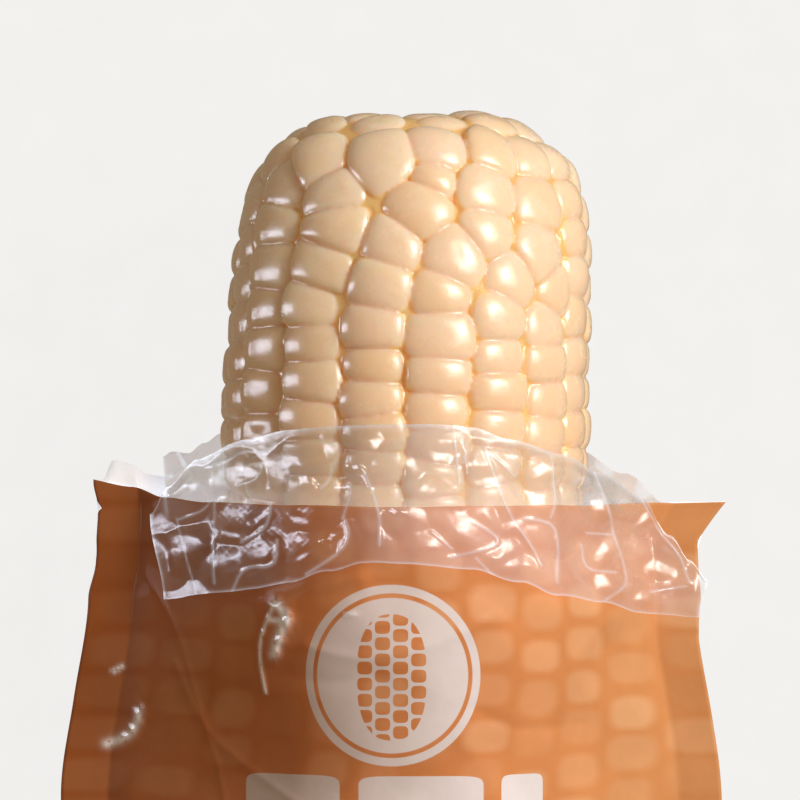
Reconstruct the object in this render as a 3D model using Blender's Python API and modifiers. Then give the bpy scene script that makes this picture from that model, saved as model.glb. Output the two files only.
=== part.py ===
"""A cob of white sweetcorn in an opened pack, lying on its back.

The cob is one solid. A clear film bag hugs it, and is slit at both sides at its mouth: its front
panel is folded out and down over the rim of the pouch, and its back panel stays behind the cob.
A printed pouch, open at the top and sealed along its sides and bottom, holds both.

Frame: +Y points to the blunt end of the cob, +X to the right as it is looked at from above, and
+Z up. The pack lies on the plane z = 0, and the origin is under the middle of its box.
"""
import math

import bmesh
import bpy

# Cob: lengths are measured along its own axis, from its blunt end.
COB_LENGTH = 0.186
COB_RADIUS = 0.026  # over the kernels, where it is widest
WIDEST_AT = 0.046
DOME_LENGTH = 0.042  # the stretch over which the blunt end rounds off
DOME_FULLNESS = (2.5, 0.2)
TAPER = 0.082  # loss of radius along the axis
TIP_LENGTH = 0.036
KERNEL_ROWS = 18
KERNEL_PITCH = 0.0053  # along a row
ROW_GROOVE = 0.0014  # depth between rows
KERNEL_GROOVE = 0.0008  # depth between the kernels of a row
PLAIN_RINGS = 4  # rings of points at each end over which the relief fades in

# Layers, from the floor up to the cob.
POUCH_WALL = 0.0005
POUCH_GAP = 0.0005
FILM_WALL = 0.0004
FILM_GAP = 0.0008
FILM_OFF_COB = FILM_GAP + FILM_WALL  # outer face of the film over the kernels
COB_OFF_FLOOR = POUCH_WALL + POUCH_GAP + FILM_WALL + FILM_GAP

# Pack: places are along Y.
COB_END_Y = 0.1267
POUCH_BOTTOM_Y = -0.1273
POUCH_RIM_Y = 0.0722
RIM_RISE = 0.003  # the left corner of the mouth is torn higher, at the back twice as much
RIM_RISE_FROM = -0.026
RIM_RISE_SPREAD = 0.017
SEAL_WIDTH = 0.006
SEAL_HALF = POUCH_WALL  # the two walls of a seal
BOTTOM_SEAL = 0.012
CAVITY_SHORT = 0.005  # the cavity ends this far above the bottom seal
POUCH_PANEL = (0.0490, 0.0468)  # crown to seal along a panel: left, right
PANEL_STEPS = 6  # faces from crown to seal
CENTRED_BELOW = -0.060  # the mouth sits to the left of the cob, and the bottom right under it
RIM_FLARE = 0.0038  # how far the right corner of the mouth turns out
RIM_FLARE_LENGTH = 0.0056
FOOT_HALF = 0.0037  # half width of the flat strip that the pouch lies on
FOOT_DEPTH = 0.0004
# How far the pouch bulges from its middle plane, at places along Y.
POUCH_BULGE = (
    (0.0820, 0.0284), (0.0722, 0.0284), (0.0590, 0.0277), (0.0310, 0.0248), (0.0000, 0.0224),
    (-0.0250, 0.0205), (-0.0375, 0.0193), (-0.0500, 0.0172), (-0.0580, 0.0146),
    (-0.0750, 0.0092), (-0.1000, 0.0025), (-0.1150, 0.0004), (-0.1273, 0.0004),
)
POUCH_ROWS = (
    POUCH_RIM_Y, 0.069, 0.066, 0.059, 0.045, 0.031, 0.012, -0.007, -0.025, -0.0375, -0.050,
    -0.058, -0.0665, -0.075, -0.0875, -0.100, -0.1075, -0.115, POUCH_BOTTOM_Y,
)

# Film bag.
FILM_FIN = 0.0035  # how far its side seals stand out from the cob
FILM_END = 0.200  # its bottom seal, along the cob's axis
FILM_CLOSING = 0.545  # slope at which it closes past the tip
FILM_COLUMNS = 16
FILM_ROWS = (-0.0667, -0.0587, -0.050, -0.042, -0.032, -0.018, 0.0, 0.020, 0.040, 0.054)
SLIT_Y = 0.064  # lower end of the slits at its sides
FOLD_HALF_HEIGHT = 0.0015
FLAP_OFF_POUCH = 0.0010
FOLD_TOP_Y = 0.0832
FOLD_MIDDLE_X = 0.0021
FOLD_HALF_WIDTH = 0.0308
FOLD_DROP = (5.1, 8.6)  # per metre, how it falls off to the left and to the right
FLAP_EDGE_Y = 0.0639
FLAP_EDGE_DROP = 0.0082
FLAP_EDGE_SPREAD = 0.028
FLAP_MIDDLE_X = 0.0038
FLAP_HALF_WIDTH = 0.0374
FLAP_BULGE = 0.0035
BACK_TOP_Y = 0.0810
BACK_FLARE = 0.0035
BACK_EDGE_DROP = 0.0010

AXIS_TILT = math.atan(TAPER)  # so that the tapered underside lies along the floor


def cone_radius(s):
    """Radius of the cob over its kernels at s along its axis, without its rounded tip."""
    widening = 1.0
    if s < DOME_LENGTH:
        power, root = DOME_FULLNESS
        widening = (1.0 - (1.0 - s / DOME_LENGTH) ** power) ** root
    return COB_RADIUS * widening - TAPER * max(0.0, s - WIDEST_AT)


def cob_radius(s):
    """Radius of the cob over its kernels at s along its axis."""
    into_tip = max(0.0, (s - COB_LENGTH + TIP_LENGTH) / TIP_LENGTH)
    return cone_radius(s) * math.sqrt(max(0.0, 1.0 - into_tip * into_tip))


def axis_height(s):
    """Height of the cob's axis over the floor."""
    return COB_OFF_FLOOR + COB_RADIUS + (WIDEST_AT - s) * math.sin(AXIS_TILT)


def along_axis(y):
    """Distance along the cob's axis of the place y in the pack."""
    return (COB_END_Y - y) / math.cos(AXIS_TILT)


def smooth(t):
    """Ease from 0 to 1 as t goes from 0 to 1."""
    t = min(max(t, 0.0), 1.0)
    return t * t * (3.0 - 2.0 * t)


def read(stations, y):
    """Value at y of a smooth curve through stations, which are listed from high y to low."""
    places = [place for place, _ in stations]
    values = [value for _, value in stations]
    if y >= places[0]:
        return values[0]
    for k in range(len(places) - 1):
        if y >= places[k + 1]:
            break
    else:
        return values[-1]

    def slope(j):
        low, high = max(j - 1, 0), min(j + 1, len(places) - 1)
        return (values[high] - values[low]) / (places[high] - places[low])

    span = places[k + 1] - places[k]
    t = (y - places[k]) / span
    bend = t * (1.0 - t) * span
    ends = slope(k) * (1.0 - t) - slope(k + 1) * t
    return values[k] + (values[k + 1] - values[k]) * smooth(t) + bend * ends


def half_width(bulge, panel):
    """Where a panel of that length meets the middle plane when it is wrapped round the bulge."""
    low, high = bulge, bulge + panel
    for _ in range(60):
        width = (low + high) / 2.0
        if math.sqrt(width ** 2 - bulge ** 2) + bulge * math.asin(bulge / width) < panel:
            low = width
        else:
            high = width
    return high


def wrapped(bulge, width, along):
    """Point (x, height) of a wrapped panel at a distance along it from its crown."""
    turn = math.asin(min(1.0, bulge / width))
    arc = bulge * turn
    distance = abs(along)
    if distance <= arc:
        x = bulge * math.sin(distance / bulge)
        height = bulge * math.cos(distance / bulge)
    else:
        rest = distance - arc
        x = bulge * math.sin(turn) + rest * math.cos(turn)
        height = bulge * math.cos(turn) - rest * math.sin(turn)
    return math.copysign(x, along), max(height, 0.0)


def height_over(bulge, width, x):
    """Height of a wrapped panel over its middle plane at x."""
    x = abs(x)
    turn = math.asin(min(1.0, bulge / width))
    if x <= bulge * math.sin(turn):
        return math.sqrt(bulge ** 2 - x ** 2)
    return max(0.0, (width - x) * math.tan(turn))


def new_object(name, bm, collection):
    """An object with the geometry of bm, in the collection."""
    mesh = bpy.data.meshes.new(name)
    bm.to_mesh(mesh)
    bm.free()
    obj = bpy.data.objects.new(name, mesh)
    collection.objects.link(obj)
    return obj


def material(name, colour, roughness, alpha=1.0):
    """A Principled material of that colour."""
    mat = bpy.data.materials.new(name)
    mat.use_nodes = True
    shader = mat.node_tree.nodes["Principled BSDF"]
    shader.inputs["Base Color"].default_value = (*colour, 1.0)
    shader.inputs["Roughness"].default_value = roughness
    shader.inputs["Alpha"].default_value = alpha
    return mat


def loft(bm, rings):
    """A closed body through rings of points, capped at both ends."""
    loops = [[bm.verts.new(point) for point in ring] for ring in rings]
    for lower, upper in zip(loops, loops[1:]):
        for k, vertex in enumerate(lower):
            after = (k + 1) % len(lower)
            bm.faces.new((vertex, lower[after], upper[after], upper[k]))
    bm.faces.new(loops[0])
    bm.faces.new(loops[-1])
    bmesh.ops.recalc_face_normals(bm, faces=bm.faces)


# Cob


def kernel_relief(column, ring, last_ring):
    """How deep a point of the kernel grid lies below the tops of the kernels."""
    from_end = min(ring, last_ring - ring)
    fade = min(1.0, from_end / PLAIN_RINGS)
    if column % 2 == 0:
        return ROW_GROOVE * fade
    return KERNEL_GROOVE * fade if ring % 2 == 0 else 0.0


def cob_stations():
    """Places along the axis, half a kernel apart along the outline, from blunt end to tip."""
    small_steps = 20000
    stations = []
    travelled, wanted = 0.0, KERNEL_PITCH / 2.0
    last = (0.0, 0.0)
    for k in range(1, small_steps):
        s = COB_LENGTH * k / small_steps
        here = (s, cob_radius(s))
        travelled += math.dist(last, here)
        last = here
        if travelled >= wanted:
            stations.append(s)
            wanted += KERNEL_PITCH / 2.0
    return stations


def make_cob(collection):
    """The cob, with rows of kernels in relief. Its own +Z runs out of its blunt end."""
    bm = bmesh.new()
    stations = cob_stations()
    columns = 2 * KERNEL_ROWS
    last_ring = len(stations) - 1
    rings = []
    for ring, s in enumerate(stations):
        points = []
        for column in range(columns):
            angle = 2.0 * math.pi * column / columns
            radius = cob_radius(s) - kernel_relief(column, ring, last_ring)
            points.append((radius * math.sin(angle), -radius * math.cos(angle), -s))
        rings.append(points)
    loft(bm, rings)
    bmesh.ops.poke(bm, faces=[face for face in bm.faces if len(face.verts) > 4])
    cob = new_object("corn_cob", bm, collection)
    cob.location = (0.0, COB_END_Y, axis_height(0.0))
    cob.rotation_euler = (AXIS_TILT - math.pi / 2.0, 0.0, 0.0)
    cob.data.shade_smooth()
    cob.data.materials.append(material("sweetcorn", (0.80, 0.58, 0.30), 0.35))
    return cob


# Pouch


def pouch_section(y):
    """Bulge, height of the middle plane and half widths (left, right) of the pouch at y."""
    bulge = read(POUCH_BULGE, y)
    middle = max(bulge - FOOT_DEPTH, SEAL_HALF)
    return bulge, middle, [half_width(bulge, panel) for panel in POUCH_PANEL]


def rim_rise(x, at_back):
    """How much higher the torn rim runs at x. Both panels meet at the edge of the seal."""
    rise = RIM_RISE * smooth((RIM_RISE_FROM - x) / RIM_RISE_SPREAD)
    seal_edge = RIM_RISE_FROM - RIM_RISE_SPREAD
    in_seal = smooth((seal_edge + SEAL_WIDTH - x) / SEAL_WIDTH)
    return rise * (2.0 - in_seal) if at_back else rise


def pouch_ring(y, inside):
    """Points round the pouch at y, on its outside or on the inside of its wall."""
    bulge, middle, widths = pouch_section(y)
    shrink = 1.0 - POUCH_WALL / bulge if inside else 1.0
    floor = POUCH_WALL if inside else 0.0
    least = 0.0 if inside else SEAL_HALF
    top = []
    for side, width, panel in zip((-1, 1), widths, POUCH_PANEL):
        half_panel = []
        for k in range(PANEL_STEPS + 1):
            along = FOOT_HALF + (panel - FOOT_HALF) * k / PANEL_STEPS
            x, height = wrapped(bulge, width, side * along)
            half_panel.append((x * shrink, max(height * shrink, least)))
        top += half_panel[::-1] if side < 0 else half_panel
    if not inside:
        flare = RIM_FLARE * max(0.0, 1.0 - (POUCH_RIM_Y - y) / RIM_FLARE_LENGTH) ** 2
        top.insert(0, (top[0][0] - SEAL_WIDTH, least))
        top.append((top[-1][0] + SEAL_WIDTH + flare, least))
    centring = (POUCH_PANEL[0] - POUCH_PANEL[1]) / 2.0 * smooth(y / CENTRED_BELOW)
    torn = 1.0 if y == POUCH_RIM_Y and not inside else 0.0
    upper = [(x + centring, y + torn * rim_rise(x, False), middle + height)
             for x, height in top]
    lower = [(x + centring, y + torn * rim_rise(x, True), max(middle - height, floor))
             for x, height in top]
    if inside:
        lower = lower[1:-1]  # the cavity closes to an edge at both sides
    return upper + lower[::-1]


def make_pouch(collection, cutters):
    """The pouch: a loft round its bulge, less a cavity that runs out of its mouth."""
    bm = bmesh.new()
    loft(bm, [pouch_ring(y, inside=False) for y in POUCH_ROWS])
    pouch = new_object("outer_pouch", bm, collection)

    past_rim = POUCH_RIM_Y + 3.0 * RIM_RISE
    cavity_end = POUCH_BOTTOM_Y + BOTTOM_SEAL + CAVITY_SHORT
    cavity_rows = [past_rim] + [y for y in POUCH_ROWS if y > cavity_end]
    bm = bmesh.new()
    loft(bm, [pouch_ring(y, inside=True) for y in cavity_rows])
    cavity = new_object("pouch_cavity", bm, cutters)
    cavity.hide_render = True
    cavity.display_type = "WIRE"

    cut = pouch.modifiers.new("cavity", "BOOLEAN")
    cut.operation = "DIFFERENCE"
    cut.object = cavity
    pouch.data.materials.append(material("printed_film", (0.66, 0.24, 0.06), 0.3))
    return pouch


# Film bag


def film_section(y):
    """Bulge, height of the middle plane, half width and panel length of the film bag at y."""
    s = along_axis(y)
    bulge = min(cone_radius(s) + FILM_OFF_COB, FILM_CLOSING * (FILM_END - s) + FILM_WALL)
    width = bulge + FILM_FIN
    panel = math.sqrt(width ** 2 - bulge ** 2) + bulge * math.asin(bulge / width)
    return bulge, axis_height(s), width, panel


def film_height(x, y):
    """Height of the film's outer face over the floor at x, where it hugs the cob."""
    bulge, middle, width, _ = film_section(y)
    return middle + height_over(bulge, width, x)


def flap_height(x, y):
    """Height of the flap's lower face over the floor, where it lies on the pouch."""
    bulge, middle, widths = pouch_section(min(y, POUCH_RIM_Y))
    over = height_over(bulge, widths[0] if x < 0 else widths[1], x)
    return middle + max(over, SEAL_HALF) + FLAP_OFF_POUCH


def fold_line(u):
    """Top of the fold at u across it (-1 left, 1 right): x, y and the heights of both layers."""
    x = FOLD_MIDDLE_X + FOLD_HALF_WIDTH * u
    drop = FOLD_DROP[0] if x < 0 else FOLD_DROP[1]
    y = FOLD_TOP_Y - drop * x * x
    upper = max(flap_height(x, y), film_height(x, y) + 2.0 * FOLD_HALF_HEIGHT)
    return x, y, upper - 2.0 * FOLD_HALF_HEIGHT, upper


def tube_point(u, y, side):
    """Point of the film bag at u across a panel. side is 1 on its front and -1 on its back."""
    bulge, middle, width, panel = film_section(y)
    x, height = wrapped(bulge, width, u * panel)
    return x, y, middle + side * height


def rising_point(u, v):
    """Point of the front panel at v between the slits' ends (0) and the fold (1)."""
    x, y, _ = tube_point(u, SLIT_Y, 1)
    fold_x, fold_y, inner, _ = fold_line(u)
    fold_y -= FOLD_HALF_HEIGHT
    lift = inner - film_height(fold_x, fold_y)
    x += (fold_x - x) * v
    y += (fold_y - y) * v
    return x, y, film_height(x, y) + lift * smooth(v)


def folded_point(u, turn):
    """Point of the front panel on the fold, from 0 on its inner layer to 1 on its outer one."""
    x, y, inner, outer = fold_line(u)
    angle = math.pi * turn
    y += FOLD_HALF_HEIGHT * (math.sin(angle) - 1.0)
    return x, y, (inner + outer) / 2.0 - FOLD_HALF_HEIGHT * math.cos(angle)


def flap_point(u, v):
    """Point of the flap at v between the fold (0) and its free edge (1)."""
    fold_x, fold_y, _, outer = fold_line(u)
    fold_y -= FOLD_HALF_HEIGHT
    edge_x = FLAP_MIDDLE_X + FLAP_HALF_WIDTH * u
    edge_y = FLAP_EDGE_Y - FLAP_EDGE_DROP * (1.0 - math.exp(-(edge_x / FLAP_EDGE_SPREAD) ** 2))
    x = fold_x + (edge_x - fold_x) * smooth(v) + FLAP_BULGE * u ** 3 * math.sin(math.pi * v)
    y = fold_y + (edge_y - fold_y) * v
    lift = outer - flap_height(fold_x, fold_y)
    return x, y, flap_height(x, y) + lift * (1.0 - smooth(v))


def back_point(u, v):
    """Point of the back panel at v between the slits' ends (0) and its free edge (1)."""
    y = SLIT_Y + (BACK_TOP_Y - SLIT_Y) * v
    x, _, z = tube_point(u, y, -1)
    above_rim = smooth((y - POUCH_RIM_Y) / (BACK_TOP_Y - POUCH_RIM_Y))
    return x + BACK_FLARE * above_rim * u ** 3, y, z - BACK_EDGE_DROP * smooth(2.0 * v) * u ** 4


def make_film(collection):
    """The film bag: a front and a back panel, joined below the slits, with a thin wall."""
    columns = FILM_COLUMNS
    across = [2.0 * column / columns - 1.0 for column in range(columns + 1)]
    end_y = COB_END_Y - FILM_END * math.cos(AXIS_TILT)
    tube_rows = [end_y, *FILM_ROWS, SLIT_Y]
    front = [[tube_point(u, y, 1) for u in across] for y in tube_rows]
    back = [[tube_point(u, y, -1) for u in across] for y in tube_rows]
    front += [[rising_point(u, v) for u in across] for v in (0.35, 0.7, 1.0)]
    front += [[folded_point(u, turn) for u in across] for turn in (1 / 3, 2 / 3, 1.0)]
    front += [[flap_point(u, v) for u in across] for v in (0.2, 0.45, 0.72, 1.0)]
    back += [[back_point(u, v) for u in across] for v in (0.3, 0.65, 1.0)]

    bm = bmesh.new()
    front_rows = [[bm.verts.new(point) for point in row] for row in front]
    back_rows = [front_rows[0]]
    for k, row in enumerate(back[1:], start=1):
        vertices = [bm.verts.new(point) for point in row[1:-1]]
        joined = k < len(tube_rows)
        first = front_rows[k][0] if joined else bm.verts.new(row[0])
        last = front_rows[k][-1] if joined else bm.verts.new(row[-1])
        back_rows.append([first, *vertices, last])
    for lower, upper in zip(front_rows, front_rows[1:]):
        for k in range(columns):
            bm.faces.new((lower[k], lower[k + 1], upper[k + 1], upper[k]))
    for lower, upper in zip(back_rows, back_rows[1:]):
        for k in range(columns):
            bm.faces.new((upper[k], upper[k + 1], lower[k + 1], lower[k]))
    film = new_object("inner_film_bag", bm, collection)
    wall = film.modifiers.new("wall", "SOLIDIFY")
    wall.thickness = FILM_WALL
    wall.offset = -1.0
    wall.use_even_offset = True
    film.data.shade_smooth()
    film.data.materials.append(material("clear_film", (0.90, 0.89, 0.88), 0.15, alpha=0.35))
    return film


for old in list(bpy.data.objects):
    bpy.data.objects.remove(old, do_unlink=True)

pack = bpy.data.collections.new("sweetcorn_pack")
cutting = bpy.data.collections.new("cutters")
bpy.context.scene.collection.children.link(pack)
bpy.context.scene.collection.children.link(cutting)

make_cob(pack)
make_pouch(pack, cutting)
make_film(pack)
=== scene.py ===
import math

import bpy
import numpy as np
from mathutils import Matrix, Vector


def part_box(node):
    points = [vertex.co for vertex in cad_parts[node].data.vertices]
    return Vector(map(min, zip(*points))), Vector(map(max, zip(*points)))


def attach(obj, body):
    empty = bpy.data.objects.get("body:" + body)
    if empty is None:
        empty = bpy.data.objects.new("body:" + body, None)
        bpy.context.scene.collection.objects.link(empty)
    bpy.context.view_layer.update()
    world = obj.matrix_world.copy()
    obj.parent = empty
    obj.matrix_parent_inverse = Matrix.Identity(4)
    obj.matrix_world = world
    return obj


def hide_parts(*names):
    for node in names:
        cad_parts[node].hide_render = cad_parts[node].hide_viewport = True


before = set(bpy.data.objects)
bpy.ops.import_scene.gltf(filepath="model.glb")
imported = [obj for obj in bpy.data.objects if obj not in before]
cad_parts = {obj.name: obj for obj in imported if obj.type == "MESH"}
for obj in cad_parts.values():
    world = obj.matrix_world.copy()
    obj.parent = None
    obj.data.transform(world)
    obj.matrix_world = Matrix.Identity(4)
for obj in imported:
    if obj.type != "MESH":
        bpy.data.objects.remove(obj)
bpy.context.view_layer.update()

scene = bpy.context.scene

# Camera -----------------------------------------------------------------------------------------
# It looks down on the lying pack, square to the axis of the cob, and sees its upper half.

taper = 0.082  # how much the cob's radius shrinks with each mm along its axis
axis_tilt = math.atan(taper)  # with this its underside lies along the floor
cob_low, cob_high = (Vector(corner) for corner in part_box("corn_cob"))
cob_radius = (cob_high.x - cob_low.x) / 2
axis_dir = Vector((0, math.cos(axis_tilt), math.sin(axis_tilt)))
widest_at = 0.046  # distance of the cob's widest place from its blunt end
cob_end = Vector((0, 0.1267, 0.0022 + cob_radius + widest_at * math.sin(axis_tilt)))
camera_distance = 0.373

camera = bpy.data.objects.new("camera", bpy.data.cameras.new("camera"))
scene.collection.objects.link(camera)
camera.data.lens = 119.9
camera.rotation_euler = (axis_tilt, 0, 0)
view_centre = cob_end - 0.0403 * axis_dir + Vector((-0.0007, 0, 0))
square_up = Vector((0, -math.sin(axis_tilt), math.cos(axis_tilt)))
camera.location = view_centre + camera_distance * square_up
scene.camera = camera
scene.view_settings.view_transform = "Standard"


# Floor and light ---------------------------------------------------------------------------------
# A pale table under a large soft light from the right, which is brightest in its middle, and a
# weak strip light from the left. A dim warm surrounding fills the shade.


def linear(hex_colour):
    """Linear colour of an sRGB colour such as "f0c080"."""
    parts = [int(hex_colour[k:k + 2], 16) / 255 for k in (0, 2, 4)]
    return [c / 12.92 if c <= 0.04045 else ((c + 0.055) / 1.055) ** 2.4 for c in parts] + [1.0]


def new_material(name):
    """A material with an empty node tree."""
    material = bpy.data.materials.new(name)
    material.use_nodes = True
    material.node_tree.nodes.clear()
    return material


def add(material, kind, inputs=(), **settings):
    """A node of that kind. inputs maps its sockets to values or to other nodes' outputs."""
    tree = material.node_tree
    node = tree.nodes.new("ShaderNode" + kind)
    for name, value in settings.items():
        setattr(node, name, value)
    for name, value in dict(inputs).items():
        if isinstance(value, bpy.types.NodeSocket):
            tree.links.new(value, node.inputs[name])
        else:
            node.inputs[name].default_value = value
    return node


def ramp(material, factor, stops):
    """Output of a colour ramp over factor. stops are (position, hex colour)."""
    node = add(material, "ValToRGB", {"Fac": factor})
    elements = node.color_ramp.elements
    while len(elements) < len(stops):
        elements.new(0.5)
    for element, (position, colour) in zip(elements, stops):
        element.position = position
        element.color = linear(colour)
    return node.outputs["Color"]


table = new_material("pale_table")
speckle = add(table, "TexNoise", {"Scale": 400.0, "Detail": 3.0})
tint = ramp(table, speckle.outputs["Fac"], [(0.3, "f2f1ef"), (0.7, "f4f3f1")])
glow = add(table, "Emission", {"Color": tint, "Strength": 0.965})
matt = add(table, "BsdfDiffuse", {"Color": linear("303030")})
mixed = add(table, "AddShader", {0: glow.outputs[0], 1: matt.outputs[0]})
add(table, "OutputMaterial", {"Surface": mixed.outputs[0]})

bpy.ops.mesh.primitive_plane_add(size=3.0)
floor = bpy.context.object
floor.name = "table_top"
floor.data.materials.append(table)
floor.visible_diffuse = floor.visible_glossy = False  # it throws no light on the pack


def area_light(name, place, width, height, power, colour):
    """A rectangular area light at place that points at the middle of what shows of the pack."""
    data = bpy.data.lights.new(name, "AREA")
    data.shape = "RECTANGLE"
    data.size, data.size_y = width, height
    data.energy = power
    data.color = linear(colour)[:3]
    light = bpy.data.objects.new(name, data)
    light.location = place
    aim = Vector((0.0, 0.08, 0.03)) - Vector(place)
    light.rotation_euler = aim.to_track_quat("-Z", "Y").to_euler()
    scene.collection.objects.link(light)
    return light


area_light("key_right", (0.50, 0.27, 0.52), 0.46, 0.46, 3.0, "fff8f0")
area_light("key_core", (0.47, 0.26, 0.50), 0.20, 0.20, 1.9, "fff8f0")
strip = area_light("strip_left", (-0.44, 0.12, 0.035), 0.09, 0.40, 1.35, "e6edff")
strip.visible_diffuse = False  # it is there for the glints on waxy kernels and film
world = scene.world or bpy.data.worlds.new("world")
scene.world = world
world.use_nodes = True
surrounding = world.node_tree.nodes["Background"].inputs
surrounding["Color"].default_value = linear("ffe2bf")
surrounding["Strength"].default_value = 0.30


# Cob ---------------------------------------------------------------------------------------------
# Sweetcorn with waxy white kernels: each kernel is a pillow of its own, pressed against its
# neighbours, over a golden core. They run in rows, and lie unevenly round the blunt end.

MM = 0.001
dome_length, cob_length, tip_length = 42 * MM, 186 * MM, 36 * MM
scar_radius = 9.6 * MM


def cob_outline():
    """Points (radius, distance from the blunt end) from the middle of the end to the tip."""
    face = np.linspace(0, 0.93, 160) * cob_radius
    face_s = dome_length * (1 - (1 - (face / cob_radius) ** 5) ** 0.4)
    body_s = np.linspace(face_s[-1], cob_length, 900)[1:]
    near = np.clip(1 - body_s / dome_length, 0, None)
    radius = cob_radius * (1 - near ** 2.5) ** 0.2 - taper * np.clip(body_s - widest_at, 0, None)
    into_tip = np.clip((body_s - cob_length + tip_length) / tip_length, 0, 1)
    radius *= np.sqrt(1 - into_tip ** 2)
    return np.concatenate([face, radius]), np.concatenate([face_s, body_s])


outline_r, outline_s = cob_outline()
outline_along = np.concatenate([[0], np.cumsum(np.hypot(np.diff(outline_r), np.diff(outline_s)))])
slope_r, slope_s = np.gradient(outline_r, outline_along), np.gradient(outline_s, outline_along)


def on_cob(along, angle, height):
    """Points in the cob's own frame: along its outline, round its axis, and above its surface.

    Its +Z runs out of the blunt end, and angle 0 faces up from the table."""
    radius = np.interp(along, outline_along, outline_r)
    s = np.interp(along, outline_along, outline_s)
    out_r = np.interp(along, outline_along, slope_s)
    out_s = -np.interp(along, outline_along, slope_r)
    radius = radius + height * out_r
    s = s + height * out_s
    return np.stack([radius * np.sin(angle), -radius * np.cos(angle), -s], axis=-1)


def eased(f):
    """Ease from 0 to 1 as f goes from 0 to 1."""
    f = np.clip(f, 0, 1)
    return f * f * (3 - 2 * f)


def kernel_places(rng):
    """Centres of the kernels: (place along the outline, angle, size allowance) for each."""
    places = []

    def put(s, degrees, allowance=0.0):
        along = np.interp(s * MM, outline_s, outline_along)
        places.append((along, math.radians(degrees), allowance * MM))

    # (angle in degrees, mm from the blunt end, how much larger than its neighbours in mm)
    crown = (
        (11, 31.8, 0.7), (-34, 7.4, 0.7), (-25, 12.7, 0.0), (-23, 17.3, 0.0), (-27, 22.6, 0.0),
        (-9, 7.3, 1.1), (5, 14.8, 0.5), (-4, 19.8, -0.2), (-8, 25.4, 0.0),
        (13, 5.7, 0.9), (10.5, 10.6, -0.7), (16, 21.2, 0.3), (11, 26.7, -0.1),
        (35, 6.5, 0.5), (29, 12.2, 0.5), (27, 17.8, -0.2), (35, 24.4, -0.2),
        (53, 6.9, 0.4), (50, 13.6, 0.3), (48, 20.4, 0.3), (55, 25.6, -0.2), (-62, 6.8, 0.0),
    )
    for degrees, s, allowance in crown:
        put(s, degrees, allowance)
    # angle of the row: (mm from the blunt end where it starts, mm between its kernels)
    rows = {-70: (13.7, 5.1), -50: (11.2, 5.85), -30: (27.9, 5.0), -10: (31.0, 4.5), 10: (37.0, 4.7),
            30: (29.7, 4.8), 50: (30.7, 4.7), 70: (7.6, 5.1), 90: (9.8, 5.0), -90: (10.2, 5.2)}
    for row in range(18):
        degrees = 20 * row - 90
        s, pitch = rows.get(degrees, (7.0 + rng.uniform(0, 3.0), 5.1))
        while s < cob_length / MM - 3:
            sway = rng.normal(0, 0.7 if s < 50 else 0.9)
            put(s, degrees + sway, rng.normal(0, 0.08))
            s += pitch * rng.uniform(0.93, 1.07)
    # two rings of kernels on the blunt end: (radius in mm, how many)
    for radius, count in ((16.6, 12), (12.0, 8)):
        for k in range(count):
            along = np.interp((radius + rng.normal(0, 0.25)) * MM, outline_r[:160], outline_along[:160])
            turn = (k + radius / 30 + rng.uniform(-0.12, 0.12)) / count
            places.append((along, 2 * math.pi * turn, 0.0))
    return np.array(places)


def kernel_edge(phi, toward, half):
    """Distance from a kernel's centre to its border in the direction phi."""
    pull = np.clip(np.cos(phi[..., None] - toward), 0, None) / half
    return 1.05 * np.minimum((pull ** 12).sum(axis=-1) ** (-1 / 12), 6.5 * MM)


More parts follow.
